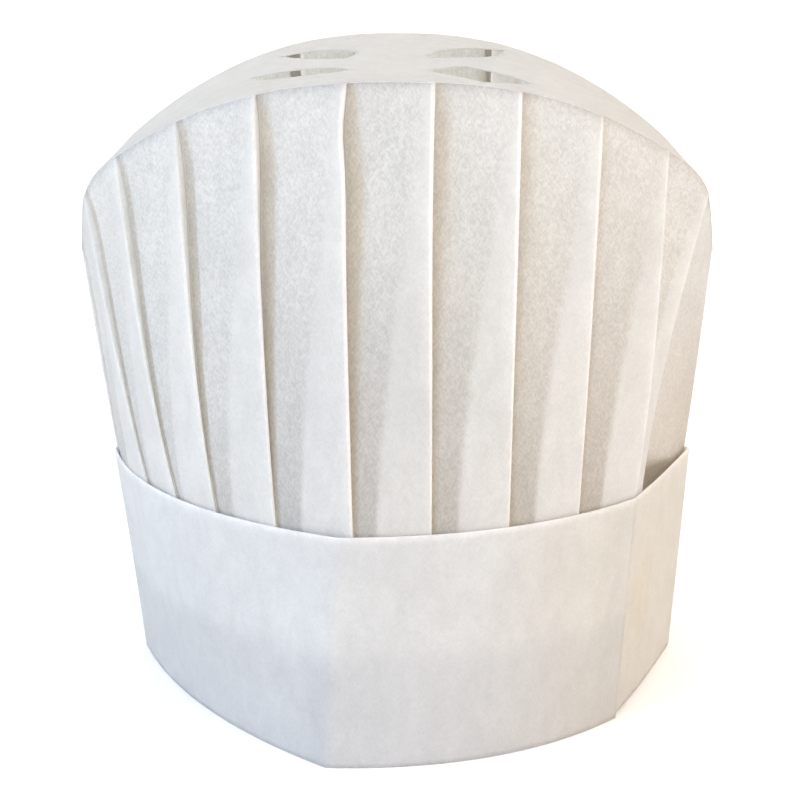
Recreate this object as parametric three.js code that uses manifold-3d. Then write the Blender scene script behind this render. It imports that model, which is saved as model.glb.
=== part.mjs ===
// A disposable chef hat of thin non-woven cloth, open for wear and standing on its headband.
// Three pieces: a plain headband ring, a crown of 24 knife pleats tucked inside the band, and a
// vented top panel that is bent like a barrel vault over the crown's rim.
// Millimetres. +Z is up, +X is the hat's right as seen from the front, and the front faces -Y.
// The origin lies on the surface that the hat stands on, under the middle of the whole hat.
import * as THREE from 'three';
import { mergeVertices } from 'three/addons/utils/BufferGeometryUtils.js';
import Module from 'manifold-3d';

// Driving sizes of the hat
const HAT_HEIGHT = 206;
const BAND_HEIGHT = 72;
const RIM_HALF_WIDTH = 105.5;
const RIM_HALF_DEPTH = 85;
const TUCK_DEPTH = 34;

// The vault over the rim is a broad arch whose two sides turn down sharply at the end. Each part
// has dropped so far at a given reach from the middle, and its power says how late it does so.
const ARCH_DROP = 47;
const ARCH_REACH = 110;
const ARCH_POWER = 2.35;
const TURN_DROP = 15;
const TURN_REACH = 104;
const TURN_POWER = 24;
const TOP_SAG = 2.2;

// Cloth walls and the space left between pieces
const BAND_WALL = 1.2;
const CROWN_WALL = 1.0;
const TOP_WALL = 1.2;
const STEEPEST_DEPTH = 4.8;
const CLEARANCE = 0.5;
const RIM_CLEARANCE = 0.5;

// Headband: its upright creases, anticlockwise from above, starting at the left corner. foot is
// where a crease meets the bottom edge and head where it meets the top edge. footBow and headBow
// say how far the facet that follows bows out at its middle. It was packed flat, so the creases
// of the front are repeated behind.
const CREASES = [
  { footX: -88.4, footY: 0, headX: -97.4, headY: 0, footBow: 9, headBow: 16 },
  { footX: -21.4, footY: -104, headX: -17.4, headY: -99, footBow: 12, headBow: 11 },
  { footX: 70.6, footY: -65.5, headX: 76.4, headY: -58.5, footBow: 1.5, headBow: 1 },
  { footX: 95.6, footY: 0, headX: 100.6, headY: 0, footBow: 1.5, headBow: 1 },
  { footX: 70.6, footY: 65.5, headX: 76.4, headY: 58.5, footBow: 12, headBow: 11 },
  { footX: -21.4, footY: 104, headX: -17.4, headY: 99, footBow: 9, headBow: 16 },
];
const FACET_STEPS = 8;
const BAND_LEVELS = [0, 0.25, 0.5, 0.75, 1];

// Crown: where each front pleat's fold meets the rim and the headband, in millimetres along each
// edge from the hat's left side, and how far the fold stands proud of the next face where it is
// most open. The folds behind are evenly spaced over what is left.
const FRONT_FOLDS = [
  { rim: 3, band: 2, proud: 1 },
  { rim: 27.4, band: 49, proud: 1.4 },
  { rim: 53, band: 68, proud: 2 },
  { rim: 81.6, band: 87.5, proud: 3.2 },
  { rim: 108.3, band: 111, proud: 4.2 },
  { rim: 135.4, band: 136, proud: 4.6 },
  { rim: 161.8, band: 160.5, proud: 4.8 },
  { rim: 187, band: 185, proud: 4.6 },
  { rim: 214.3, band: 211, proud: 4.2 },
  { rim: 241.6, band: 238.5, proud: 3.6 },
  { rim: 275.2, band: 245.5, proud: 2.5 },
  { rim: 297, band: 303, proud: 2 },
];
const BACK_FOLDS = 12;
const BACK_PROUD = 3.5;
const PLEATS = FRONT_FOLDS.length + BACK_FOLDS;

// Pleat section: the flap folded under each face, and how it turns from lying flat behind the
// face at the band to standing inwards at the rim
const FLAP_WIDTH = 9;
const LAYER_SPACING = 1.6;
const FLAP_LEAN_AT_BAND = 82;
const FLAP_LEAN_AT_RIM = 25;
const FACE_STATIONS = [0.3, 0.65];
const CROWN_RISES = [-1, -0.5, 0, 0.14, 0.32, 0.55, 0.8, 1];

// How far the folds stand open on their way from the band to the rim, as a share of proud
const FOLD_OPENING = [
  { rise: 0, share: 0.12 },
  { rise: 0.32, share: 0.55 },
  { rise: 0.8, share: 1 },
  { rise: 1, share: 0.35 },
];

// Pocket: the face at the right corner is buckled inwards just above the band
const POCKET_FACE = 10;
const POCKET_DEPTH = 11;
const POCKET_RISE = 12;

// Vents: four leaf-shaped holes around the middle of the top panel, cut by hand and not quite
// alike. slant is the angle of a leaf's long axis, in degrees anticlockwise from +X.
const VENTS = [
  { x: -31.5, y: -22, slant: 116, length: 56, width: 24 },
  { x: 25.5, y: -34, slant: 88, length: 58, width: 29 },
  { x: 23.5, y: 32.5, slant: 70, length: 49, width: 20 },
  { x: -26, y: 30.5, slant: 128, length: 42, width: 21 },
];
const VENT_STEPS = 7;

// The vaulted slab that the top panel is cut from: how far it reaches past the rim, its strips
// from left to right and its steps from front to back. The strips get narrower towards the
// hat's sides, where the vault is steep.
const SLAB_MARGIN = 2;
const SLAB_STRIPS = 32;
const SLAB_STEPS = 8;
const STRIP_LINES = Array.from({ length: SLAB_STRIPS + 1 }, (_, i) =>
  (RIM_HALF_WIDTH + SLAB_MARGIN) * Math.sin(Math.PI * (i / SLAB_STRIPS - 0.5)));

const lerp = THREE.MathUtils.lerp;
const radians = THREE.MathUtils.degToRad;
const paper = (color, roughness) => new THREE.MeshStandardMaterial({ color, roughness, metalness: 0 });

// Height of the vault's outer side over a point x to the right of the middle
function vaultHeight(x) {
  return HAT_HEIGHT - ARCH_DROP * Math.abs(x / ARCH_REACH) ** ARCH_POWER
    - TURN_DROP * Math.abs(x / TURN_REACH) ** TURN_POWER;
}

// Upright depth of the top panel over a point x, growing with the slope so that the cloth keeps
// its thickness where the vault is steep
function panelDepth(x) {
  const slope = vaultHeight(x - 0.5) - vaultHeight(x + 0.5);
  return Math.min(STEEPEST_DEPTH, TOP_WALL * Math.hypot(1, slope));
}

// Height of the top panel's under side, which runs straight from one strip line to the next
function undersideHeight(x) {
  const next = STRIP_LINES.findIndex((line) => line > x);
  const start = STRIP_LINES[next - 1];
  const end = STRIP_LINES[next];
  const fraction = (x - start) / (end - start);
  return lerp(vaultHeight(start) - panelDepth(start), vaultHeight(end) - panelDepth(end), fraction);
}

// The headband's outer line at one level, 0 at its foot and 1 at its head: each facet is a chord
// between two creases, bowed out as a parabola
function bandLine(level) {
  const line = [];
  const foot = (crease) => new THREE.Vector2(crease.footX, crease.footY);
  const head = (crease) => new THREE.Vector2(crease.headX, crease.headY);
  CREASES.forEach((crease, i) => {
    const next = CREASES[(i + 1) % CREASES.length];
    const start = foot(crease).lerp(head(crease), level);
    const along = foot(next).lerp(head(next), level).sub(start);
    const outwards = new THREE.Vector2(along.y, -along.x).normalize();
    const bow = lerp(crease.footBow, crease.headBow, level);
    for (let step = 0; step < FACET_STEPS; step += 1) {
      const t = step / FACET_STEPS;
      line.push(start.clone().addScaledVector(along, t).addScaledVector(outwards, bow * 4 * t * (1 - t)));
    }
  });
  return line;
}

// The rim's line in plan, an oval that starts at the hat's left side
function rimLine() {
  return Array.from({ length: 360 }, (_, i) => {
    const angle = Math.PI + radians(i);
    return new THREE.Vector2(RIM_HALF_WIDTH * Math.cos(angle), RIM_HALF_DEPTH * Math.sin(angle));
  });
}

// Running length of a closed line at each of its points, ending with its whole length
function runningLengths(line) {
  const lengths = [0];
  line.forEach((point, i) => lengths.push(lengths[i] + point.distanceTo(line[(i + 1) % line.length])));
  return lengths;
}

// The place on a closed line after a given length, as an index and a fraction to the next point
function placeAt(lengths, length) {
  const total = lengths[lengths.length - 1];
  const wanted = ((length % total) + total) % total;
  const index = lengths.findIndex((value) => value > wanted) - 1;
  return { index, fraction: (wanted - lengths[index]) / (lengths[index + 1] - lengths[index]) };
}

function pointAt(line, place) {
  return line[place.index].clone().lerp(line[(place.index + 1) % line.length], place.fraction);
}

// A closed line moved sideways, positive outwards, with mitred corners
function offsetLine(line, distance) {
  return line.map((point, i) => {
    const before = line[(i + line.length - 1) % line.length];
    const after = line[(i + 1) % line.length];
    const inLeg = new THREE.Vector2(point.y - before.y, before.x - point.x).normalize();
    const outLeg = new THREE.Vector2(after.y - point.y, point.x - after.x).normalize();
    const mitre = inLeg.clone().add(outLeg).normalize();
    return new THREE.Vector2(point.x, point.y).addScaledVector(mitre, distance / mitre.dot(outLeg));
  });
}

// A closed ring of cloth between the rows of points on its outer and its inner side
function clothRing(outerRows, innerRows) {
  const count = outerRows[0].length;
  const points = [...outerRows.flat(), ...innerRows.flat()];
  const index = [];
  const quad = (a, b, c, d) => index.push(a, b, c, a, c, d);
  const inner = outerRows.length * count;
  const top = inner - count;
  for (let i = 0; i < count; i += 1) {
    const j = (i + 1) % count;
    for (let row = 0; row < top; row += count) {
      quad(row + i, row + j, row + count + j, row + count + i);
      quad(inner + row + j, inner + row + i, inner + row + count + i, inner + row + count + j);
    }
    quad(i, inner + i, inner + j, j);
    quad(top + j, inner + top + j, inner + top + i, top + i);
  }
  const geometry = new THREE.BufferGeometry().setFromPoints(points);
  geometry.setIndex(index);
  geometry.computeVertexNormals();
  return geometry;
}

// Where every fold meets the rim and the band, front folds first
function foldPlaces() {
  const rim = rimLine();
  const rimLengths = runningLengths(rim);
  const bandLengths = runningLengths(bandLine(1));
  const first = FRONT_FOLDS[0];
  const last = FRONT_FOLDS[FRONT_FOLDS.length - 1];
  const rimStep = (first.rim + rimLengths[rim.length] - last.rim) / (BACK_FOLDS + 1);
  const bandStep = (first.band + bandLengths[bandLengths.length - 1] - last.band) / (BACK_FOLDS + 1);
  const back = Array.from({ length: BACK_FOLDS }, (_, i) => ({
    rim: last.rim + (i + 1) * rimStep,
    band: last.band + (i + 1) * bandStep,
    proud: BACK_PROUD,
  }));
  return [...FRONT_FOLDS, ...back].map((fold) => ({
    rim: pointAt(rim, placeAt(rimLengths, fold.rim)),
    band: placeAt(bandLengths, fold.band),
    proud: fold.proud,
  }));
}

// How open the folds stand at one height, read from the table between its rows
function openShare(rise) {
  const next = Math.max(1, FOLD_OPENING.findIndex((stage) => stage.rise >= rise));
  const from = FOLD_OPENING[next - 1];
  const to = FOLD_OPENING[next];
  return lerp(from.share, to.share, (Math.max(rise, 0) - from.rise) / (to.rise - from.rise));
}

// The fold corners at one height: on the band's inner side below its top edge (rise below 0),
// then straight from there to the rim (rise 0 to 1)
function foldCorners(folds, rise) {
  const inset = BAND_WALL + CLEARANCE + CROWN_WALL / 2;
  const level = rise < 0 ? 1 + (rise * TUCK_DEPTH) / BAND_HEIGHT : 1;
  const line = offsetLine(bandLine(level), -inset);
  return folds.map((fold) => pointAt(line, fold.band).lerp(fold.rim, Math.max(rise, 0)));
}

// How far a point of the pocket's face is pushed inwards: deepest beside the fold at the band's
// top edge, fading out upwards, down into the band and towards the corner
function pocketDepth(face, across, rise) {
  if (face !== POCKET_FACE) return 0;
  const climb = Math.max(rise, 0) * (HAT_HEIGHT - BAND_HEIGHT);
  const fade = rise < 0 ? 1 + rise : Math.max(0, 1 - climb / (POCKET_RISE * (1.15 - across)));
  return POCKET_DEPTH * fade * Math.sin(Math.PI * Math.min(1, across + 0.25));
}

// One row of the crown in plan. For each fold: the face's end, the return, the flap's two inner
// corners, the start of the next face, and stations across that face
function crownPlan(folds, rise) {
  const corners = foldCorners(folds, rise);
  const height = Math.max(rise, 0);
  const lean = radians(FLAP_LEAN_AT_RIM + (FLAP_LEAN_AT_BAND - FLAP_LEAN_AT_RIM) * (1 - height) ** 1.3);
  return corners.flatMap((corner, i) => {
    const lift = folds[i].proud * openShare(height);
    const before = corners[(i + PLEATS - 1) % PLEATS];
    const after = corners[(i + 1) % PLEATS];
    const pitch = corner.distanceTo(before);
    const along = corner.clone().sub(before).normalize();
    const inwards = new THREE.Vector2(-along.y, along.x);
    const flap = inwards.clone().multiplyScalar(Math.cos(lean)).addScaledVector(along, -Math.sin(lean));
    const through = inwards.clone().multiplyScalar(Math.sin(lean)).addScaledVector(along, Math.cos(lean));
    const width = Math.min(FLAP_WIDTH, 0.7 * pitch);
    const returned = corner.clone().addScaledVector(through, LAYER_SPACING * Math.sin(lean));
    const root = returned.clone().addScaledVector(flap, width);
    const underRoot = root.clone().addScaledVector(through, LAYER_SPACING);
    const faceStart = returned.clone().addScaledVector(through, LAYER_SPACING).addScaledVector(flap, lift);
    const faceLine = after.clone().sub(faceStart);
    const faceInwards = new THREE.Vector2(-faceLine.y, faceLine.x).normalize();
    const stations = FACE_STATIONS.map((across) => faceStart.clone().addScaledVector(faceLine, across)
      .addScaledVector(faceInwards, pocketDepth(i, across, rise)));
    return [corner.clone(), returned, root, underRoot, faceStart, ...stations];
  });
}

// One side of the crown's cloth, from its hidden lower edge up to just under the top panel
function crownSide(folds, sideways) {
  const rim = offsetLine(crownPlan(folds, 1), sideways);
  return CROWN_RISES.map((rise) => offsetLine(crownPlan(folds, rise), sideways).map((point, i) => {
    const rimHeight = undersideHeight(rim[i].x) - RIM_CLEARANCE;
    const height = rise < 0 ? BAND_HEIGHT + rise * TUCK_DEPTH : lerp(BAND_HEIGHT, rimHeight, rise);
    return new THREE.Vector3(point.x, point.y, height);
  }));
}

function makeCrown(folds) {
  return clothRing(crownSide(folds, CROWN_WALL / 2), crownSide(folds, -CROWN_WALL / 2));
}

function makeHeadband() {
  const side = (sideways) => BAND_LEVELS.map((level) => offsetLine(bandLine(level), sideways)
    .map((point) => new THREE.Vector3(point.x, point.y, level * BAND_HEIGHT)));
  return clothRing(side(0), side(-BAND_WALL));
}

// Leaf outline of one vent: a long axis whose two sides bow out as a sine
function ventOutline(vent) {
  const axis = new THREE.Vector2(Math.cos(radians(vent.slant)), Math.sin(radians(vent.slant)));
  const across = new THREE.Vector2(-axis.y, axis.x);
  const centre = new THREE.Vector2(vent.x, vent.y);
  const side = (sign) => Array.from({ length: VENT_STEPS }, (_, i) => {
    const t = i / VENT_STEPS;
    return centre.clone().addScaledVector(axis, sign * (t - 0.5) * vent.length)
      .addScaledVector(across, -sign * Math.sin(Math.PI * t) * vent.width / 2);
  });
  return [...side(1), ...side(-1)];
}

// A closed slab over the whole rim, bent to the vault and sagging a little in the middle
function vaultSlab() {
  const length = 2 * (RIM_HALF_DEPTH + SLAB_MARGIN);
  const geometry = new THREE.BoxGeometry(SLAB_STRIPS, length, 1, SLAB_STRIPS, SLAB_STEPS, 1);
  const position = geometry.attributes.position;
  for (let i = 0; i < position.count; i += 1) {
    const x = STRIP_LINES[Math.round(position.getX(i) + SLAB_STRIPS / 2)];
    const reach = (x / RIM_HALF_WIDTH) ** 2 + (position.getY(i) / RIM_HALF_DEPTH) ** 2;
    const sag = TOP_SAG * Math.max(0, 1 - reach) ** 2;
    const depth = position.getZ(i) < 0 ? panelDepth(x) : 0;
    position.setX(i, x);
    position.setZ(i, vaultHeight(x) - depth - sag);
  }
  return geometry;
}

// Top panel: the slab cut to the crown's outline, with the vents cut through
function makeTopPanel(solids, folds) {
  const pointsPerPleat = 5 + FACE_STATIONS.length;
  const outline = offsetLine(crownPlan(folds, 1), CROWN_WALL / 2)
    .filter((_, i) => i % pointsPerPleat === 0 || i % pointsPerPleat > 3);
  const shape = new THREE.Shape(outline);
  shape.holes.push(...VENTS.map((vent) => new THREE.Path(ventOutline(vent))));
  const cutter = new THREE.ExtrudeGeometry(shape, { depth: HAT_HEIGHT, bevelEnabled: false });
  return solids.toGeometry(solids.fromGeometry(vaultSlab()).intersect(solids.fromGeometry(cutter)));
}

// Joining and cutting of closed meshes
async function loadSolids() {
  const wasm = await Module();
  wasm.setup();
  return {
    fromGeometry(geometry) {
      geometry.deleteAttribute('normal');
      geometry.deleteAttribute('uv');
      const merged = mergeVertices(geometry, 1e-4);
      return new wasm.Manifold(new wasm.Mesh({
        numProp: 3,
        vertProperties: new Float32Array(merged.attributes.position.array),
        triVerts: new Uint32Array(merged.index.array),
      }));
    },
    toGeometry(solid) {
      const mesh = solid.getMesh();
      const geometry = new THREE.BufferGeometry();
      geometry.setAttribute('position', new THREE.BufferAttribute(mesh.vertProperties, 3));
      geometry.setIndex(new THREE.BufferAttribute(mesh.triVerts, 1));
      geometry.computeVertexNormals();
      return geometry;
    },
  };
}

const solids = await loadSolids();
const folds = foldPlaces();

const headband = new THREE.Mesh(makeHeadband(), paper(0xe9ebec, 0.9));
headband.name = 'headband';

const crown = new THREE.Mesh(makeCrown(folds), paper(0xeeefee, 0.9));
crown.name = 'pleated_crown';

const topPanel = new THREE.Mesh(makeTopPanel(solids, folds), paper(0xe4e4e0, 0.9));
topPanel.name = 'top_panel';

const hat = new THREE.Group();
hat.add(headband, crown, topPanel);

export default hat;
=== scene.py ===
# A disposable chef hat of white non-woven cloth, opened for wear and standing on its headband.
# The sections follow the way such a hat is put together: the headband's strip, the pleated
# crown glued inside it, the vented sheet over the crown, and then the table, light and camera.
import math

import bpy
import numpy as np
from mathutils.geometry import delaunay_2d_cdt
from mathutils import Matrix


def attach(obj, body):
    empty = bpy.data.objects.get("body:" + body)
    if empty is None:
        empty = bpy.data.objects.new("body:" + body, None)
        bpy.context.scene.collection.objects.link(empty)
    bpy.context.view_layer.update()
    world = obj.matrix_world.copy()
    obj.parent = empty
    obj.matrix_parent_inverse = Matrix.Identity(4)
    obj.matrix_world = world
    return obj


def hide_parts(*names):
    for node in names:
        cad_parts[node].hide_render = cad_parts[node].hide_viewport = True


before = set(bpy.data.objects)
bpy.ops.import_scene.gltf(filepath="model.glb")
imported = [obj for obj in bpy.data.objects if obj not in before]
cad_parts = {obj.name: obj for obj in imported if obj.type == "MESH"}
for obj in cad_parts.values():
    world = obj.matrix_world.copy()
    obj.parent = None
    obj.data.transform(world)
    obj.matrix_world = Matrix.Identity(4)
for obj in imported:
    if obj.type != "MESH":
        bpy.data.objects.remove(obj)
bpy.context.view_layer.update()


# Headband
# One strip of spunlaced non-woven cloth, folded lengthwise so that its fold is the top edge.
# It was packed flat, which left six upright creases, and its ends are glued where they overlap
# at the right front crease, the lower corner of one end a little higher than the other.
MM = 0.001
CLOTH_THICKNESS = 0.35 * MM
LIGHT_LET_THROUGH = 0.6
BAND_HEIGHT = 72 * MM
BAND_LAYER_GAP = 0.75 * MM
BAND_FACET_STEPS = 26
BAND_CREASE_SOFTNESS = 0.016
BAND_RISE_STEPS = 40
BAND_FOLD_STEPS = 9
BAND_COLOUR = (0.90, 0.908, 0.905, 1.0)
# Painted shade for the lower part of the band, painted highlight for its top fold, and the colour of
# the painted warm light on its right-hand facets
BAND_SHADE_COLOUR = (0.79, 0.80, 0.81, 1)
BAND_HIGHLIGHT_COLOUR = (0.985, 0.985, 0.985, 1)
BAND_WARM_LIGHT_TINT = (1.0, 0.95, 0.83, 1)
BAND_FIBRE_SHOW = 0.35

# The overlap: its length, how far the tucked end lies behind the other and how soon it comes
# level, how far its lower edge is raised at the crease, along what length that fades, and how
# many times that it may reach behind the other end
BAND_OVERLAP = 12 * MM
TUCKED_BEHIND = 0.3 * MM
TUCKED_FADE = 18 * MM
BAND_END_RAISED = 1.5 * MM
RAISED_FADE = 70 * MM
RAISED_LIMIT = 1.15

# The strip's slow swell in and out between its ends, and how far from the ends it begins
SWELL = 0.4 * MM
SWELL_LENGTH = 31 * MM
SWELL_FREE_END = 60 * MM

# Creases anticlockwise from above, starting at the left corner, in millimetres: foot x, foot y,
# head x, head y, and how far the facet that follows bows out at its foot and at its head
CREASES = np.array([
    (-88.4, 0, -97.4, 0, 9, 16),
    (-21.4, -104, -17.4, -99, 12, 11),
    (70.6, -65.5, 76.4, -58.5, 0.6, 0.4),
    (95.6, 0, 100.6, 0, 1.5, 1),
    (70.6, 65.5, 76.4, 58.5, 12, 11),
    (-21.4, 104, -17.4, 99, 9, 16),
])
OVERLAP_CREASE = 2
LEFT_FRONT_CREASE_AFTER_OVERLAP = 5


def facet_steps():
    """Even steps across one facet, with two more beside the crease at each end of it."""
    even = np.arange(1, BAND_FACET_STEPS) / BAND_FACET_STEPS
    return np.concatenate([[0, BAND_CREASE_SOFTNESS], even, [1 - BAND_CREASE_SOFTNESS]])


def band_ring(level):
    """Plan of the headband's outer side at each level, 0 at the foot and 1 at the head.

    Each facet is a chord between two creases plus a parabola of the facet's bow, 4 t (1 - t),
    along the chord's outward normal. The result has one row of closed points for each level.
    """
    level = np.asarray(level, float)[:, None, None]
    start = (CREASES[:, 0:2] * (1 - level) + CREASES[:, 2:4] * level) * MM
    along = np.roll(start, -1, axis=1) - start
    outwards = np.stack([along[..., 1], -along[..., 0]], axis=-1)
    outwards /= np.linalg.norm(outwards, axis=-1, keepdims=True)
    bow = (CREASES[:, 4] * (1 - level[..., 0]) + CREASES[:, 5] * level[..., 0]) * MM
    t = facet_steps()[:, None]
    hump = bow[..., None, None] * 4 * t * (1 - t)
    ring = start[:, :, None] + along[:, :, None] * t + outwards[:, :, None] * hump
    return ring.reshape(len(level), -1, 2)


def moved_sideways(ring, distance):
    """Closed plan lines moved by a distance along the normal of the line, outwards if positive."""
    tangent = np.roll(ring, -1, axis=1) - np.roll(ring, 1, axis=1)
    normal = np.stack([tangent[..., 1], -tangent[..., 0]], axis=-1)
    normal /= np.linalg.norm(normal, axis=-1, keepdims=True)
    return ring + normal * distance


def running_length(line):
    """Length along a line of points up to each point."""
    return np.concatenate([[0], np.cumsum(np.linalg.norm(np.diff(line, axis=0), axis=1))])


def cloth_object(name, grid, flat, marks, closed):
    """A mesh from a grid of points whose rows climb the cloth and whose columns run along it.

    flat holds each point's place on the flat cloth in metres, and becomes the UV map. marks are
    named values at the points, from 0 to 1. A closed grid joins its last column to its first,
    and flat then has one more column than the grid, so that the map doesn't run back.
    """
    rows, columns = grid.shape[:2]
    spans = columns if closed else columns - 1
    row, column = np.meshgrid(np.arange(rows - 1), np.arange(spans), indexing="ij")
    row, column = row.ravel(), column.ravel()
    corner_rows = np.stack([row, row, row + 1, row + 1], axis=1)
    corner_columns = np.stack([column, column + 1, column + 1, column], axis=1)
    faces = corner_rows * columns + corner_columns % columns
    mesh = bpy.data.meshes.new(name)
    mesh.from_pydata(grid.reshape(-1, 3), [], faces.tolist())
    uv = mesh.uv_layers.new(name="flat_cloth")
    uv.data.foreach_set("uv", flat[corner_rows, corner_columns].ravel())
    for mark, values in marks.items():
        attribute = mesh.attributes.new(mark, "FLOAT", "POINT")
        attribute.data.foreach_set("value", np.clip(values, 0, 1).astype(np.float32).ravel())
    mesh.shade_smooth()
    piece = bpy.data.objects.new(name, mesh)
    bpy.context.scene.collection.objects.link(piece)
    return piece


def give_thickness(piece):
    """Cloth of an even thickness, added behind the modelled side."""
    solidify = piece.modifiers.new("cloth thickness", "SOLIDIFY")
    solidify.thickness = CLOTH_THICKNESS
    solidify.offset = -1
    solidify.use_even_offset = False


def nonwoven_material(name, colour, shaded, highlight, warm_tint, fibre_show):
    """White non-woven cloth.

    Its colour is mixed towards shaded, a painted shade, where the mark "shade" asks for it: the dark
    inside seen through one layer of cloth, and other shade painted on. It is multiplied by a painted
    warm light and warm shadow where "warm" asks for it, and mixed towards a painted highlight where
    "fold" marks a folded edge. Short fibres that cross each other, and soft clouds, mottle it. The
    fibres show by fibre_show, and in full where the mark "bare" says that no second layer lies
    behind, and they are the cloth's bump. Part of the light goes through it.
    """
    material = bpy.data.materials.new(name)
    material.use_nodes = True
    nodes, links = material.node_tree.nodes, material.node_tree.links
    nodes.clear()

    def node(kind, **settings):
        """A new node of a kind with its settings."""
        made = nodes.new(kind)
        for key, value in settings.items():
            setattr(made, key, value)
        return made

    flat = node("ShaderNodeUVMap", uv_map="flat_cloth")

    def noise(scale, stretch, turn, detail, distortion):
        """Cloud noise on the flat cloth, drawn out upwards by a factor and then turned by degrees."""
        mapping = node("ShaderNodeMapping", vector_type="TEXTURE")
        mapping.inputs["Rotation"].default_value = (0, 0, math.radians(turn))
        mapping.inputs["Scale"].default_value = (1, stretch, 1)
        texture = node("ShaderNodeTexNoise")
        texture.inputs["Scale"].default_value = scale
        texture.inputs["Detail"].default_value = detail
        texture.inputs["Distortion"].default_value = distortion
        links.new(flat.outputs["UV"], mapping.inputs["Vector"])
        links.new(mapping.outputs["Vector"], texture.inputs["Vector"])
        return texture.outputs["Fac"]

    def mixed(kind, factor, first, second):
        """Colour mix whose factor and colours may be numbers or sockets."""
        mix = node("ShaderNodeMix", data_type="RGBA", blend_type=kind)
        sockets = (mix.inputs["Factor"], mix.inputs[6], mix.inputs[7])
        for socket, value in zip(sockets, (factor, first, second)):
            if isinstance(value, bpy.types.NodeSocket):
                links.new(value, socket)
            else:
                socket.default_value = value
        return mix.outputs[2]

    def ranged(value, least, most, darkest, brightest):
        """Noise between least and most carried to the range from darkest to brightest."""
        ramp = node("ShaderNodeMapRange")
        for socket, number in zip(list(ramp.inputs)[1:5], (least, most, darkest, brightest)):
            socket.default_value = number
        links.new(value, ramp.inputs["Value"])
        return ramp.outputs["Result"]

    def mark(mark_name):
        """The value of one of the mesh's marks."""
        return node("ShaderNodeAttribute", attribute_name=mark_name).outputs["Fac"]

    def mean(values):
        """The mean of several noises."""
        total = values[0]
        for more in values[1:]:
            both = node("ShaderNodeMath", operation="ADD")
            links.new(total, both.inputs[0])
            links.new(more, both.inputs[1])
            total = both.outputs[0]
        share = node("ShaderNodeMath", operation="DIVIDE")
        share.inputs[1].default_value = len(values)
        links.new(total, share.inputs[0])
        return share.outputs[0]

    # Painted shade, painted warm light and warm shadow, and a painted highlight on the folded edges
    toned = mixed("MIX", mark("shade"), colour, shaded)
    toned = mixed("MULTIPLY", mark("warm"), toned, warm_tint)
    toned = mixed("MIX", mark("fold"), toned, highlight)

    fibres = mean([
        noise(scale=2100, stretch=1.7, turn=4, detail=2, distortion=0.6),
        noise(scale=1350, stretch=2.6, turn=40, detail=2, distortion=0.8),
        noise(scale=1350, stretch=2.6, turn=-35, detail=2, distortion=0.8),
    ])
    small_clouds = noise(scale=170, stretch=1.7, turn=0, detail=3, distortion=0.6)
    large_clouds = noise(scale=30, stretch=1.4, turn=0, detail=2, distortion=0.6)
    showing = node("ShaderNodeMapRange")
    showing.inputs["To Min"].default_value = fibre_show
    links.new(mark("bare"), showing.inputs["Value"])
    fibre_tone = ranged(fibres, least=0.41, most=0.59, darkest=0.89, brightest=1.05)
    small_cloud_tone = ranged(small_clouds, least=0.32, most=0.68, darkest=0.975, brightest=1.02)
    large_cloud_tone = ranged(large_clouds, least=0.32, most=0.68, darkest=0.98, brightest=1.01)
    toned = mixed("MULTIPLY", showing.outputs["Result"], toned, fibre_tone)
    toned = mixed("MULTIPLY", 1.0, toned, small_cloud_tone)
    toned = mixed("MULTIPLY", 1.0, toned, large_cloud_tone)

    bump = node("ShaderNodeBump")
    bump.inputs["Strength"].default_value = 0.7
    bump.inputs["Distance"].default_value = 0.4 * MM
    links.new(fibres, bump.inputs["Height"])

    cloth = node("ShaderNodeBsdfPrincipled")
    cloth.inputs["Roughness"].default_value = 0.92
    cloth.inputs["Specular IOR Level"].default_value = 0.2
    cloth.inputs["Sheen Weight"].default_value = 0.1
    cloth.inputs["Sheen Roughness"].default_value = 0.6
    links.new(toned, cloth.inputs["Base Color"])
    links.new(bump.outputs["Normal"], cloth.inputs["Normal"])
    through = node("ShaderNodeBsdfTranslucent")
    links.new(toned, through.inputs["Color"])
    links.new(bump.outputs["Normal"], through.inputs["Normal"])
    mix = node("ShaderNodeMixShader")
    mix.inputs["Fac"].default_value = LIGHT_LET_THROUGH
    links.new(cloth.outputs["BSDF"], mix.inputs[1])
    links.new(through.outputs["BSDF"], mix.inputs[2])
    output = node("ShaderNodeOutputMaterial")
    links.new(mix.outputs["Shader"], output.inputs["Surface"])
    return material


def band_profile():
    """The folded strip from the outer foot over the top fold down to the inner foot.

    Gives the level of each row, 0 at the foot and 1 at the head, and its distance inwards. The
    two layers are straight, and the fold is half a circle across the gap between them.
    """
    radius = BAND_LAYER_GAP / 2
    climb = np.linspace(0, 1, BAND_RISE_STEPS)
    layer_level = climb - radius / BAND_HEIGHT * climb
    turn = np.linspace(0, math.pi, BAND_FOLD_STEPS)[1:-1]
    fold_level = 1 - (radius - radius * np.sin(turn)) / BAND_HEIGHT
    level = np.concatenate([layer_level, fold_level, layer_level[::-1]])
    inset = np.concatenate([0 * climb, radius - radius * np.cos(turn), BAND_LAYER_GAP + 0 * climb])
    return level, inset


# The ring starts at the overlap crease, and its last columns are laid before the first once
# more, as the tucked end
level, inset = band_profile()
columns_per_facet = len(facet_steps())
ring = np.roll(band_ring(level), -OVERLAP_CREASE * columns_per_facet, axis=1)
ring = moved_sideways(ring, -inset[:, None, None])
outward_normals = moved_sideways(ring, 1.0) - ring
closed_ring = np.concatenate([ring, ring[:, :1]], axis=1)
head_lengths = running_length(closed_ring[BAND_RISE_STEPS - 1])
tucked_columns = np.count_nonzero(head_lengths[-1] - head_lengths < BAND_OVERLAP) - 1
order = np.arange(-tucked_columns, ring.shape[1] + 1) % ring.shape[1]
band_plan = ring[:, order]
inwards = -outward_normals[:, order]
band_lengths = running_length(band_plan[BAND_RISE_STEPS - 1])
from_start = band_lengths - band_lengths[tucked_columns]
to_ends = np.minimum(np.abs(from_start), band_lengths[-1] - band_lengths)

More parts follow.
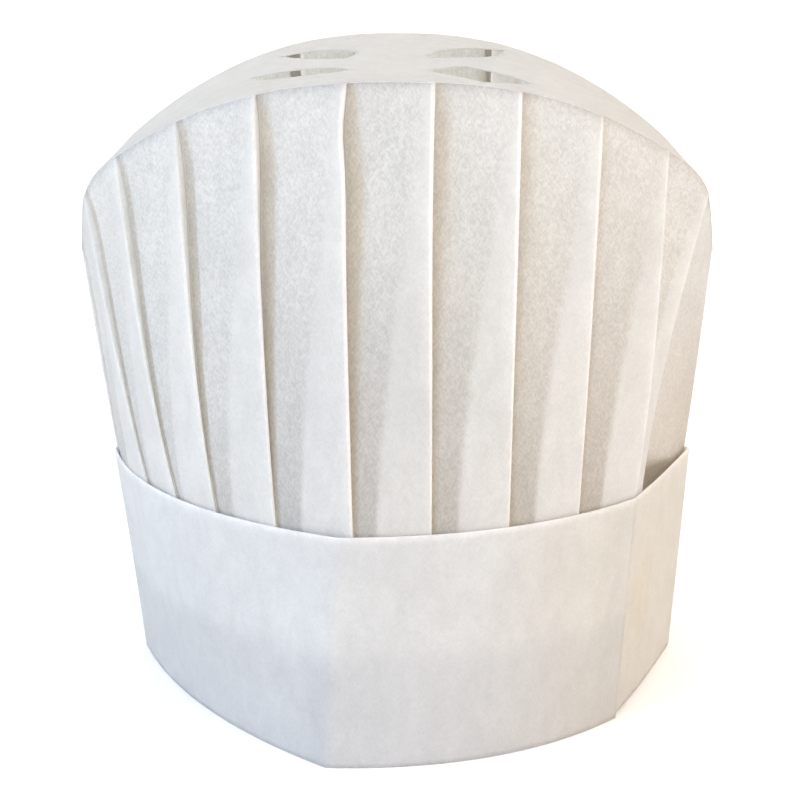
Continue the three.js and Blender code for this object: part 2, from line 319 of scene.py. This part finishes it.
# The tucked end's step inwards, the raised lower corner, and the swell, which is a sine along
# the strip times a sine up it
tucked = np.where(from_start < 0, 1.0, np.clip(1 - from_start / TUCKED_FADE, 0, 1))
band_plan = band_plan + inwards * (tucked * TUCKED_BEHIND)[None, :, None]
raised = BAND_END_RAISED * np.clip(1 - from_start / RAISED_FADE, 0, RAISED_LIMIT)
band_heights = level[:, None] * BAND_HEIGHT + raised[None] * (1 - level[:, None])
swell = SWELL * np.sin(from_start / SWELL_LENGTH) * np.clip(to_ends / SWELL_FREE_END - 1, 0, 1)
band_plan = band_plan - inwards * (swell[None] * np.sin(math.pi * level)[:, None])[..., None]
band_grid = np.concatenate([band_plan, band_heights[..., None]], axis=2)
profile_length = running_length(np.stack([inset, level * BAND_HEIGHT], axis=1))
band_flat = np.stack(np.broadcast_arrays(band_lengths[None], profile_length[:, None]), axis=-1)

# Marks: a painted highlight along the top fold; painted shade on the lower part, where the crown's
# hidden edge doesn't back the band and the dark inside shows through, with more painted shade beside
# the left front crease; and painted warm light on the facet after the overlap crease, on a spot in
# it and on the last facet
HIGHLIGHT_WIDTH = 1.1 * MM
SINGLE_BELOW, SINGLE_BLUR, SINGLE_SHADE = 34 * MM, 1.6 * MM, 0.5
PATCH_MIDDLE, PATCH_REACH, PATCH_SHADE = 5 * MM, 5 * MM, 0.3
GLOW_ALONG, GLOW_LENGTH = 15 * MM, 11 * MM
GLOW_HEIGHT, GLOW_RISE = 33 * MM, 17 * MM
GLOW_WARMTH = 0.35
FACET_LENGTH, FACET_WARMTH, FACET_LESS_SHADE = 66 * MM, 0.3, 0.35
END_LENGTH, END_WARMTH = 60 * MM, 0.3

from_fold = np.abs(profile_length - profile_length[len(profile_length) // 2])
# Painted shade below the crown's hidden edge, where the dark inside shows through the band
single_layer_shade = 1 / (1 + np.exp((band_heights - SINGLE_BELOW) / SINGLE_BLUR))
left_front_column = tucked_columns + LEFT_FRONT_CREASE_AFTER_OVERLAP * columns_per_facet
left_of_crease = from_start[left_front_column] - from_start
# Painted shade beside the left front crease, where the facet bends before it
crease_shade = np.exp(-((left_of_crease - PATCH_MIDDLE) / PATCH_REACH) ** 4)[None] * single_layer_shade
# Painted warm light: a spot on the facet after the overlap crease, the whole of that facet, and the
# end of the last facet
glow_along = ((from_start[None] - GLOW_ALONG) / GLOW_LENGTH) ** 2
glow_up = ((band_heights - GLOW_HEIGHT) / GLOW_RISE) ** 2
warm_light_spot = np.exp(-glow_along - glow_up)
right_facet = (from_start > 0) & (from_start < FACET_LENGTH)
towards_end = np.clip(1 - (band_lengths[-1] - band_lengths) / END_LENGTH, 0, 1)
# Painted highlight along the band's top fold
edge_highlight = np.exp(-(from_fold[:, None] / HIGHLIGHT_WIDTH) ** 2)
band_marks = {
    "fold": np.broadcast_to(edge_highlight, band_plan.shape[:2]),
    "shade": (SINGLE_SHADE - FACET_LESS_SHADE * right_facet[None]) * single_layer_shade + PATCH_SHADE * crease_shade,
    "warm": FACET_WARMTH * right_facet[None] + GLOW_WARMTH * warm_light_spot + END_WARMTH * towards_end[None],
}
band = cloth_object("headband_cloth", band_grid, band_flat, band_marks, closed=False)
give_thickness(band)
band.data.materials.append(nonwoven_material(
    "band non-woven", BAND_COLOUR, BAND_SHADE_COLOUR,
    BAND_HIGHLIGHT_COLOUR, BAND_WARM_LIGHT_TINT, BAND_FIBRE_SHOW))
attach(band, "root")
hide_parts("headband")


# Pleated crown
# One long strip of the same cloth, laid in one-way knife pleats and glued inside the headband.
# At the band each pleat's flap lies flat behind its face. Towards the rim it stands inwards, so
# the crown opens out, and the folds stand a few millimetres proud of the next face.
HAT_HEIGHT = 206 * MM
RIM_HALF_WIDTH = 105.5 * MM
RIM_HALF_DEPTH = 85 * MM
ARCH_DROP, ARCH_REACH, ARCH_POWER = 47 * MM, 110 * MM, 2.4
TURN_DROP, TURN_REACH, TURN_POWER = 14 * MM, 104 * MM, 32
TOP_SAG = 2.2 * MM
TUCK_DEPTH = 34 * MM
CROWN_INSET = 0.85 * MM
CROWN_BELOW_TOP = 0.3 * MM
CROWN_TUCK_STEPS = 4
CROWN_RISE_STEPS = 36
CROWN_RISE_GROWTH = 1.5
CROWN_COLOUR = (0.92, 0.925, 0.915, 1.0)
# Painted shade for the bare parts of the faces, painted highlight for the folds' edges, and the
# colour of the painted warm shadow and warm light
CROWN_SHADE_COLOUR = (0.70, 0.695, 0.675, 1)
CROWN_HIGHLIGHT_COLOUR = (0.995, 0.995, 0.99, 1)
CROWN_WARM_SHADE_TINT = (0.895, 0.84, 0.765, 1)
CROWN_FIBRE_SHOW = 0.4

# For each front fold, in millimetres: where it meets the rim and the headband, along each from
# the left corner, how far it stands proud of the next face where it is most open, how far it
# bulges outwards halfway up, how far it strays along the ring two thirds of the way up; then how
# dark and crisp the painted shadow beside it is, and how bright the painted highlight on its edge
# is, from 0 to 1
FRONT_FOLDS = np.array([
    (3.0, 2.0, 1.0, 0.3, 0, 0.7, 0.2),
    (25.4, 44.0, 2.0, 1.2, 0, 1.0, 0.15),
    (51.5, 64.6, 2.2, 2.3, 0, 1.0, 0.15),
    (79.4, 85.4, 3.0, 2.9, 0, 1.0, 0.2),
    (107.0, 110.0, 4.2, 1.6, -0.5, 0.92, 0.5),
    (135.2, 136.8, 4.6, 1.6, -0.9, 0.78, 0.8),
    (160.8, 161.0, 4.8, 0.9, -0.6, 0.66, 1.0),
    (186.9, 186.2, 4.6, 0.4, 0, 0.58, 1.0),
    (214.2, 212.1, 4.2, 0.7, 0, 0.5, 0.8),
    (242.4, 239.0, 3.6, 2.0, 0, 0.4, 0.4),
    (272.6, 246.0, 2.5, -1.8, 0, 0.4, 0.4),
    (297.0, 303.0, 2.0, 0.3, 0, 0.4, 0.4),
])
FOLD_VALUES = FRONT_FOLDS.shape[1]
BULGE_SKEW, STRAY_SKEW = 0.8, 1.6
RIM_STEPS = 721
BACK_FOLDS = 12
BACK_PROUD, BACK_PROUD_SPREAD, BACK_PROUD_WAVE = 3.5 * MM, 0.25, 2.4
BACK_BULGE, BACK_BULGE_WAVE = 0.8 * MM, 1.7
BACK_SHADOW_AND_EDGE = 0.6

# One fold is nipped to the left just below the rim
PINCHED_FOLD = 5
PINCH, PINCH_AT, PINCH_REACH = 1.3 * MM, 0.9, 0.08

# The flaps: their width, also as a share of the pleat's pitch, their lean against the faces'
# inward normal at the band and at the rim, and the layers' spacing. The back flaps swing with
# the rim's slant, so that they are seen edge-on through the vents.
FLAP_WIDTH = 17 * MM
FLAP_PITCH_SHARE = 0.75
FLAP_LEAN_AT_BAND = math.radians(85)
FLAP_LEAN_AT_RIM = math.radians(6)
FLAP_LEAN_GROWTH = 1.3
BACK_FLAP_SWING = math.radians(25)
BACK_FLAP_FOLLOW = 1.14
BACK_FLAP_SKEW = math.radians(11.6)
FOLD_SPACING = 0.74 * MM
SLIT = 0.08 * MM
FOLD_SOFTNESS = 0.45 * MM
SOFT_PITCH_SHARE = 0.1
LIFT_FLAP_SHARE = 0.8
FOLD_STEPS = 5
FLAP_STEPS = 5
BACK_SIDE_STEPS = 4

# The faces: the steps across each, closer together towards its start, and the roundness that
# they take from the headband
FACE_STEPS = 26
FACE_STEP_GROWTH = 1.35
CREASE_SHARE = 0.012
BAND_ROUNDNESS = 120 * MM

# Pocket: the face behind the right front crease is buckled inwards above the headband, below a
# slanting crease that runs from the fold on its left down to the headband's right corner
POCKET_FACE = 11
POCKET_DEPTH = 11 * MM
POCKET_RISE = 16.5 * MM
POCKET_WIDTH = 0.7
POCKET_SOFTNESS = 0.8 * MM
POCKET_START = 0.04
POCKET_TUCK_SHARE = 0.9


def vault_height(x):
    """Height of the vaulted top over x: a broad arch whose two sides turn down at the end."""
    arch = ARCH_DROP * np.abs(x / ARCH_REACH) ** ARCH_POWER
    turn = TURN_DROP * np.abs(x / TURN_REACH) ** TURN_POWER
    return HAT_HEIGHT - arch - turn


def top_height(plan):
    """Height of the top sheet: the vault, less a sag that fades to nothing at the rim."""
    reach = (plan[..., 0] / RIM_HALF_WIDTH) ** 2 + (plan[..., 1] / RIM_HALF_DEPTH) ** 2
    return vault_height(plan[..., 0]) - TOP_SAG * np.maximum(0, 1 - reach) ** 2


def closed_line(line):
    """A line of points with its first point once more at its end."""
    return np.vstack([line, line[:1]])


def places_on_ring(ring, lengths, measured):
    """Points of a closed line that lie beside given lengths along the measured closed line."""
    closed = closed_line(ring)
    run = running_length(closed_line(measured))
    wanted = np.mod(lengths, run[-1])
    return np.stack([np.interp(wanted, run, closed[:, axis]) for axis in (0, 1)], axis=1)


def fold_table():
    """The folds' table with the back ones added, evenly over what is left, and the rim's line.

    The back folds stand proud and bulge by a mean value plus a sine of their number.
    """
    turn = math.pi + np.linspace(0, 2 * math.pi, RIM_STEPS)
    rim = np.stack([RIM_HALF_WIDTH * np.cos(turn), RIM_HALF_DEPTH * np.sin(turn)], axis=1)
    head = closed_line(band_ring([1.0])[0])
    totals = np.array([running_length(rim)[-1], running_length(head)[-1]])
    front = FRONT_FOLDS * MM
    step = (front[0, :2] + totals - front[-1, :2]) / (BACK_FOLDS + 1)
    number = np.arange(BACK_FOLDS)
    back = np.zeros((BACK_FOLDS, FOLD_VALUES))
    back[:, :2] = front[-1, :2] + (number[:, None] + 1) * step
    back[:, 2] = BACK_PROUD * (1 + BACK_PROUD_SPREAD * np.sin(BACK_PROUD_WAVE * number))
    back[:, 3] = BACK_BULGE * (1 + np.sin(BACK_BULGE_WAVE * number))
    back[:, 5:] = BACK_SHADOW_AND_EDGE * MM
    return np.vstack([front, back]), rim[:-1]


def smooth_step(values):
    """0 below 0, 1 above 1, and 3 t squared less 2 t cubed between."""
    t = np.clip(values, 0, 1)
    return t * t * (3 - 2 * t)


def fold_opening(climb):
    """How far a fold stands open: a quarter sine up to its widest, then a little closed again."""
    at_band, widest_at, closed_at_rim = 0.12, 0.8, 0.7
    opened = at_band + (1 - at_band) * np.sin(np.minimum(climb / widest_at, 1) * math.pi / 2)
    return opened - closed_at_rim * np.clip((climb - widest_at) / (1 - widest_at), 0, 1) ** 2


def bezier(points, steps):
    """Curve through the first and last of four arrays of points, pulled towards the middle two."""
    t = steps.reshape((1, 1, -1, 1))
    a, b, c, d = (p[:, :, None] for p in points)
    return a * (1 - t) ** 3 + 3 * b * t * (1 - t) ** 2 + 3 * c * t ** 2 * (1 - t) + d * t ** 3


def straight(start, end, steps):
    """Points on the lines from start to end."""
    t = steps.reshape((1, 1, -1, 1))
    return start[:, :, None] * (1 - t) + end[:, :, None] * t


def unit(vectors):
    """Vectors brought to the length 1."""
    return vectors / np.linalg.norm(vectors, axis=-1, keepdims=True)


# Every fold's edge at every row: a straight line from the band to the rim, plus its bulge, its
# stray and the nip, which are humps up the line
folds, rim_line = fold_table()
rise = np.concatenate([
    np.linspace(-1, 0, CROWN_TUCK_STEPS + 1)[:-1],
    np.linspace(0, 1, CROWN_RISE_STEPS + 1) ** CROWN_RISE_GROWTH,
])
climb = np.maximum(rise, 0)
foot_levels = np.where(rise < 0, 1 + rise * TUCK_DEPTH / BAND_HEIGHT, 1)
head_ring = band_ring([1.0])[0]
inner_rings = moved_sideways(band_ring(foot_levels), -CROWN_INSET)
feet = np.stack([places_on_ring(line, folds[:, 1], head_ring) for line in inner_rings])
rim_points = places_on_ring(rim_line, folds[:, 0], rim_line)
corners = feet * (1 - climb[:, None, None]) + rim_points[None] * climb[:, None, None]
around = unit(np.roll(corners, -1, axis=1) - np.roll(corners, 1, axis=1))
outwards = np.stack([around[..., 1], -around[..., 0]], axis=-1)
bulge = folds[None, :, 3] * np.sin(math.pi * climb ** BULGE_SKEW)[:, None]
stray = folds[None, :, 4] * np.sin(math.pi * climb ** STRAY_SKEW)[:, None]
corners = corners + outwards * bulge[..., None] + around * stray[..., None]
pinch = PINCH * np.exp(-((climb - PINCH_AT) / PINCH_REACH) ** 2)
corners[:, PINCHED_FOLD] -= around[:, PINCHED_FOLD] * pinch[:, None]

# The flap behind each fold, and where the next face starts on it
befores = np.roll(corners, 1, axis=1)
along = unit(corners - befores)
inward = np.stack([-along[..., 1], along[..., 0]], axis=-1)
pitch = np.linalg.norm(corners - befores, axis=-1)[..., None]
front_count = len(FRONT_FOLDS)
back_slant = np.arcsin(along[-1, front_count:, 1])
back_lean = BACK_FLAP_FOLLOW * back_slant - BACK_FLAP_SKEW
rim_lean = np.full(len(folds), FLAP_LEAN_AT_RIM)
rim_lean[front_count:] = np.clip(back_lean, -BACK_FLAP_SWING, BACK_FLAP_SWING)
leant = (1 - climb[:, None]) ** FLAP_LEAN_GROWTH
lean = (rim_lean + (FLAP_LEAN_AT_BAND - rim_lean) * leant)[:, :, None]
flap = inward * np.cos(lean) - along * np.sin(lean)
through = inward * np.sin(lean) + along * np.cos(lean)
width = np.minimum(FLAP_WIDTH, FLAP_PITCH_SHARE * pitch)
lift = folds[None, :, 2, None] * fold_opening(climb)[:, None, None]
turned = corners + through * FOLD_SPACING
root = turned + flap * width
under_root = root + through * SLIT
face_start = turned + through * SLIT + flap * np.minimum(lift, width * LIFT_FLAP_SHARE)

# The faces between the flaps: flat, plus a shallow arc of the band's roundness that fades
# upwards, plus the pocket's dent, which is a soft ramp below its slanting crease
start = np.roll(face_start, 1, axis=1)
heading = unit(corners - start)
soft = np.minimum(FOLD_SOFTNESS, SOFT_PITCH_SHARE * pitch)
even = np.linspace(0, 1, FACE_STEPS)[1:-1]
across = np.concatenate([[CREASE_SHARE], even ** FACE_STEP_GROWTH, [1 - CREASE_SHARE]])
face = straight(start + heading * soft, corners - heading * soft, across)
face_inwards = np.stack([-heading[..., 1], heading[..., 0]], axis=-1)
arc_height = pitch ** 2 / (8 * BAND_ROUNDNESS) * ((1 - climb) ** 2)[:, None, None]
hug = arc_height * 4 * across * (1 - across)
hug[:, POCKET_FACE] = 0
face -= face_inwards[:, :, None] * hug[..., None]
above_band = climb * (HAT_HEIGHT - BAND_HEIGHT)
crease_height = POCKET_RISE * np.clip(1 - across / POCKET_WIDTH, 0, 1)
below_crease = crease_height[None] - above_band[:, None]
slope = POCKET_DEPTH / POCKET_RISE
dent = slope * POCKET_SOFTNESS * np.logaddexp(0, below_crease / POCKET_SOFTNESS)
tuck_fade = np.clip(1 + rise / POCKET_TUCK_SHARE, 0, 1)[:, None]
dent = dent * tuck_fade * smooth_step(across / POCKET_START)[None] * (crease_height > 0)[None]
face[:, POCKET_FACE] += face_inwards[:, POCKET_FACE, None] * dent[..., None]

# One pleat after the other: face, fold, flap, turn at its root, back side, and the dip into the
# next face
fold_steps = np.linspace(0, 1, FOLD_STEPS)
next_heading = np.roll(heading, -1, axis=1)
fold = bezier((corners - heading * soft, corners, turned, turned + flap * soft), fold_steps)
flap_side = straight(turned + flap * soft, root - flap * soft, np.linspace(0, 1, FLAP_STEPS)[1:-1])
root_turn = bezier((root - flap * soft, root, under_root, under_root - flap * soft), fold_steps)
back_side = straight(
    under_root - flap * soft, face_start + flap * soft, np.linspace(0, 1, BACK_SIDE_STEPS)[1:-1])
dip = bezier(
    (face_start + flap * soft, face_start, face_start, face_start + next_heading * soft), fold_steps)
pleats = np.concatenate([face, fold, flap_side, root_turn, back_side, dip], axis=2)
crown_plan = pleats.reshape(len(rise), -1, 2)
rim_heights = top_height(crown_plan[-1]) - CROWN_BELOW_TOP
crown_heights = np.where(
    rise[:, None] < 0,
    BAND_HEIGHT + rise[:, None] * TUCK_DEPTH,
    BAND_HEIGHT + (rim_heights[None] - BAND_HEIGHT) * climb[:, None])
crown_grid = np.concatenate([crown_plan, crown_heights[..., None]], axis=2)
middle_row = CROWN_TUCK_STEPS + CROWN_RISE_STEPS // 2
strip_lengths = running_length(closed_line(crown_plan[middle_row]))
mean_heights = crown_heights.mean(axis=1)
crown_flat = np.stack(np.broadcast_arrays(strip_lengths[None], mean_heights[:, None]), axis=-1)

# Marks across the faces. Next to its fold, each face is backed by the flap behind it; the rest
# is bare and takes painted shade of the dark inside, deeper towards the band. A strip of painted
# shadow lies beside the fold before it, tinted warm, and painted warm light lies on the bare parts
# to the right, on the hidden flaps and in the pocket. The folds' edges take a painted highlight.
BACKED_FACE_SHARE = 0.9
BARE_BLUR_AT_BAND, BARE_BLUR_GROWTH = 1.8 * MM, 3.6 * MM
RIGHT_REACH, RIGHT_SHIFT = 120 * MM, 0.15
LEFT_REACH, LEFT_SHIFT = 90 * MM, 0.25
BARE_SHADE, BARE_SHADE_GROWTH = 0.88, 2.1
LESS_SHADE_RIGHT, LESS_SHADE_LEFT = 0.35, 0.42
MIDDLE_SHADE = 0.14
POCKET_SHADE_SHARE = 0.15
STRIP_LIFT_SHARE, STRIP_MARGIN = 0.95, 0.8 * MM
STRIP_BLUR, STRIP_BLUR_GROWTH = 0.4 * MM, 8 * MM
STRIP_STRENGTH, STRIP_STRENGTH_GROWTH = 0.85, 0.6
STRIP_LESS_WARM_LEFT, STRIP_SHADE_LEFT = 0.25, 0.35
BARE_WARMTH = 0.7
INNER_WARMTH = 0.3
POCKET_WARM_DEPTH = 1.2 * MM

fold_columns = slice(FACE_STEPS, FACE_STEPS + FOLD_STEPS)
hidden_part = slice(FACE_STEPS + FOLD_STEPS, None)
# Painted highlight along each fold's edge, as bright as the fold's value in the table
fold_highlight_mark = np.zeros(pleats.shape[:3])
fold_highlight_mark[:, :, fold_columns] = folds[None, :, 6, None] / MM

face_width = np.linalg.norm(corners - start, axis=-1)
before_fold = (1 - across)[None, None] * face_width[..., None]
lies_behind = np.maximum(0, np.sin(lean[:, :, 0]))
backed_width = np.minimum(FLAP_WIDTH, BACKED_FACE_SHARE * face_width) * lies_behind
blur = (BARE_BLUR_AT_BAND + BARE_BLUR_GROWTH * climb)[:, None, None]
bare_mark = np.zeros(pleats.shape[:3])
bare_mark[:, :, :FACE_STEPS] = 1 - smooth_step((backed_width[..., None] - before_fold) / blur + 0.5)
bare_mark[:, POCKET_FACE, :FACE_STEPS] = 1

# Painted shade that is lighter towards the left and right sides and a little deeper over the middle
# faces, as the light falls
rightness = smooth_step(corners[..., 0] / RIGHT_REACH + RIGHT_SHIFT)[..., None]
leftness = smooth_step(LEFT_SHIFT - corners[..., 0] / LEFT_REACH)[..., None]
shade_up = (BARE_SHADE * (1 - climb) ** BARE_SHADE_GROWTH)[:, None, None]
shade_mark = bare_mark * shade_up * (1 - LESS_SHADE_RIGHT * rightness - LESS_SHADE_LEFT * leftness)
shade_mark += MIDDLE_SHADE * (1 - leftness) * (1 - rightness)
shade_mark[:, POCKET_FACE] *= POCKET_SHADE_SHARE

# Painted shadow beside each fold, cast by the fold that stands proud of the next face: tinted warm,
# with grey painted shade added on the left
shadow = np.roll(folds[:, 5], 1)[None, :, None] / MM
strip_width = STRIP_LIFT_SHARE * np.roll(lift, 1, axis=1) + STRIP_MARGIN
strip_blur = STRIP_BLUR + STRIP_BLUR_GROWTH * (1 - shadow)
after_start = across[None, None] * face_width[..., None]
strip = smooth_step((strip_width - after_start) / strip_blur + 0.5)
strip *= shadow * (STRIP_STRENGTH + STRIP_STRENGTH_GROWTH * (1 - climb) ** 2)[:, None, None]
shade_mark[:, :, :FACE_STEPS] += STRIP_SHADE_LEFT * strip * leftness
warm_mark = np.zeros(pleats.shape[:3])
warm_mark[:, :, :FACE_STEPS] = strip * (1 - STRIP_LESS_WARM_LEFT * leftness)
# Painted warm light on the bare parts to the right, low down; painted warm shade on the hidden parts
# of the pleats and in the pocket's dent
warm_mark += BARE_WARMTH * bare_mark * rightness * (1 - climb)[:, None, None]
warm_mark[:, :, hidden_part] = INNER_WARMTH
warm_mark[:, POCKET_FACE, :FACE_STEPS] += smooth_step(dent / POCKET_WARM_DEPTH)

crown_marks = {"fold": fold_highlight_mark, "bare": bare_mark, "shade": shade_mark, "warm": warm_mark}
crown = cloth_object("pleated_crown_cloth", crown_grid, crown_flat, crown_marks, closed=True)
give_thickness(crown)
crown.data.materials.append(nonwoven_material(
    "crown non-woven", CROWN_COLOUR, CROWN_SHADE_COLOUR,
    CROWN_HIGHLIGHT_COLOUR, CROWN_WARM_SHADE_TINT, CROWN_FIBRE_SHOW))
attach(crown, "root")
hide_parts("pleated_crown")


# Top panel
# An oval sheet bent over the crown like a barrel vault and glued to the upper edge of every
# pleat. Four leaf-shaped vents are punched through it, and its middle sags a little.
# Darker than the crown's cloth: partly the sheet's own tone and partly painted shade, as the top
# faces less of the light
TOP_COLOUR = (0.865, 0.865, 0.855, 1.0)
TOP_FIBRE_SHOW = 0.45
TOP_OVERHANG = 0.12 * MM
TOP_GRID_STEP = 3 * MM
TOP_GRID_MARGIN = 3 * MM
VENT_SIDE_STEPS = 18

# The vents' middles, the angle of each long axis from +X in degrees, each one's length and width,
# how far its axis bows sideways, all in millimetres, and the share of the length where the vent
# is widest: cut by hand and not quite alike
VENTS = [
    (-33.5, -18.5, 126, 50, 23, -0.4, 0.33),
    (24.0, -40.5, 93, 63, 30.5, -2.4, 0.54),
    (24.3, 35.1, 60, 54, 15.6, -0.5, 0.46),
    (-30.1, 29.8, 126, 42, 18, -5.5, 0.42),
]


def leaf_axes(slant):
    """Directions along a leaf's long axis and to its left, for a slant in degrees."""
    angle = math.radians(slant)
    return np.array([math.cos(angle), math.sin(angle)]), np.array([-math.sin(angle), math.cos(angle)])


def leaf_sides(t, bow, widest, width):
    """How far the two sides of a leaf lie from its straight axis at shares t of its length.

    The axis bows by a parabola, bow times 4 t (1 - t). Half the width times the sine of pi times
    a power of t lies to each side, with the power such that the sine is greatest at widest.
    """
    middle = bow * 4 * t * (1 - t)
    half_width = width / 2 * np.sin(math.pi * t ** (math.log(0.5) / math.log(widest)))
    return middle - half_width, middle + half_width


def leaf(x, y, slant, length, width, bow, widest):
    """Outline of one vent: along one side of the leaf and back along the other."""
    axis, sideways = leaf_axes(slant)
    t = np.arange(VENT_SIDE_STEPS) / VENT_SIDE_STEPS
    right_side = leaf_sides(t, bow, widest, width)[0]
    left_side = leaf_sides(1 - t, bow, widest, width)[1]
    there = ((t - 0.5) * length)[:, None] * axis + right_side[:, None] * sideways
    back = ((0.5 - t) * length)[:, None] * axis + left_side[:, None] * sideways
    return (np.vstack([there, back]) + np.array([x, y])) * MM


def inside_leaf(points, x, y, slant, length, width, bow, widest):
    """True for points between the two sides of a vent."""
    axis, sideways = leaf_axes(slant)
    away = points / MM - np.array([x, y])
    t = away @ axis / length + 0.5
    right_side, left_side = leaf_sides(np.clip(t, 0, 1), bow, widest, width)
    beside = away @ sideways
    return (t > 0) & (t < 1) & (beside > right_side) & (beside < left_side)


def crossed(first, second):
    """The upward part of the cross product of plan vectors."""
    return first[:, 0] * second[:, 1] - first[:, 1] * second[:, 0]


# The sheet's outline follows the rim's faces and half of each fold. It is cut into triangles
# together with the vents' outlines and a square grid of inner points, and those in the vents
# are left out.
rim_row = pleats[-1]
half_fold = FACE_STEPS + FOLD_STEPS // 2 + 1
rim_outline = np.concatenate([rim_row[:, :half_fold], rim_row[:, -2:]], axis=1).reshape(-1, 2)
rim_outline = moved_sideways(rim_outline[None], TOP_OVERHANG)[0]
loops = [rim_outline] + [leaf(*vent) for vent in VENTS]
span_x = np.arange(-RIM_HALF_WIDTH, RIM_HALF_WIDTH, TOP_GRID_STEP)
span_y = np.arange(-RIM_HALF_DEPTH, RIM_HALF_DEPTH, TOP_GRID_STEP)
inner = np.stack(np.meshgrid(span_x, span_y), axis=-1).reshape(-1, 2)
grid_reach = np.array([RIM_HALF_WIDTH - TOP_GRID_MARGIN, RIM_HALF_DEPTH - TOP_GRID_MARGIN])
inner = inner[((inner / grid_reach) ** 2).sum(axis=1) < 1]
edges = []
count = 0
for loop in loops:
    edges += [(count + i, count + (i + 1) % len(loop)) for i in range(len(loop))]
    count += len(loop)
plan_points = np.vstack(loops + [inner])
INSIDE_OUTLINE = 1
SAME_POINT = 1e-7
made = delaunay_2d_cdt(plan_points.tolist(), edges, [], INSIDE_OUTLINE, SAME_POINT)
top_plan = np.array(made[0])
top_faces = np.array(made[2])
centres = top_plan[top_faces].mean(axis=1)
in_vent = np.any([inside_leaf(centres, *vent) for vent in VENTS], axis=0)
used, packed = np.unique(top_faces[~in_vent], return_inverse=True)
top_plan = top_plan[used]
top_faces = packed.reshape(-1, 3)
first_side = top_plan[top_faces[:, 1]] - top_plan[top_faces[:, 0]]
second_side = top_plan[top_faces[:, 2]] - top_plan[top_faces[:, 0]]
clockwise = crossed(first_side, second_side) < 0
top_faces[clockwise] = top_faces[clockwise][:, ::-1]
top_points = np.column_stack([top_plan, top_height(top_plan)])
top_mesh = bpy.data.meshes.new("top_panel_cloth")
top_mesh.from_pydata(top_points.tolist(), [], top_faces.tolist())
top_uv = top_mesh.uv_layers.new(name="flat_cloth")
top_uv.data.foreach_set("uv", top_plan[top_faces.ravel()].ravel())
top_mesh.shade_smooth()
top = bpy.data.objects.new("top_panel_cloth", top_mesh)
bpy.context.scene.collection.objects.link(top)
give_thickness(top)
top.data.materials.append(nonwoven_material(
    "top non-woven", TOP_COLOUR, TOP_COLOUR, TOP_COLOUR, TOP_COLOUR, TOP_FIBRE_SHOW))
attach(top, "root")
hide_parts("top_panel")


# Table, light and camera
# A plain pale table top, a large cool light to the left of the hat, a weaker warm one to its
# right, and the camera where the photograph was taken, looking a little down on the hat.
TABLE_SIZE = 30.0
TABLE_COLOUR = (0.95, 0.95, 0.95, 1)
ROOM_COLOUR = (1.0, 0.985, 0.90, 1)
ROOM_STRENGTH = 1.45
CAMERA_PLACE = (2.4 * MM, -695 * MM, 270 * MM)
CAMERA_DOWN = 0.255
CAMERA_TURN = 0.002

half = TABLE_SIZE / 2
table_corners = [(-half, -half, 0), (half, -half, 0), (half, half, 0), (-half, half, 0)]
table_mesh = bpy.data.meshes.new("table")
table_mesh.from_pydata(table_corners, [], [(0, 1, 2, 3)])
table = bpy.data.objects.new("table", table_mesh)
bpy.context.scene.collection.objects.link(table)
table_paint = bpy.data.materials.new("pale table")
table_paint.use_nodes = True
table_shader = table_paint.node_tree.nodes["Principled BSDF"]
table_shader.inputs["Base Color"].default_value = TABLE_COLOUR
table_shader.inputs["Roughness"].default_value = 0.8
table_mesh.materials.append(table_paint)

world = bpy.data.worlds.new("soft room")
world.use_nodes = True
room = world.node_tree.nodes["Background"]
room.inputs["Color"].default_value = ROOM_COLOUR
room.inputs["Strength"].default_value = ROOM_STRENGTH
bpy.context.scene.world = world


def far_light(name, from_left, height, spread, strength, colour):
    """Light from far away: its angles in degrees, from the front towards the left, and upwards."""
    data = bpy.data.lights.new(name, "SUN")
    data.angle = math.radians(spread)
    data.energy = strength
    data.color = colour
    light = bpy.data.objects.new(name, data)
    light.rotation_euler = (math.radians(90 - height), 0, -math.radians(from_left))
    bpy.context.scene.collection.objects.link(light)


far_light("cool light", from_left=60, height=32, spread=30, strength=1.0, colour=(0.05, 0.33, 1.0))
far_light("warm light", from_left=-70, height=30, spread=40, strength=0.5, colour=(1.0, 0.15, 0.02))

camera_data = bpy.data.cameras.new("camera")
camera_data.sensor_width = 36
camera_data.lens = 94.5
camera_data.clip_start = 0.01
camera = bpy.data.objects.new("camera", camera_data)
camera.location = CAMERA_PLACE
camera.rotation_euler = (math.pi / 2 - CAMERA_DOWN, 0, CAMERA_TURN)
bpy.context.scene.collection.objects.link(camera)
bpy.context.scene.camera = camera
bpy.context.scene.view_settings.view_transform = "Standard"
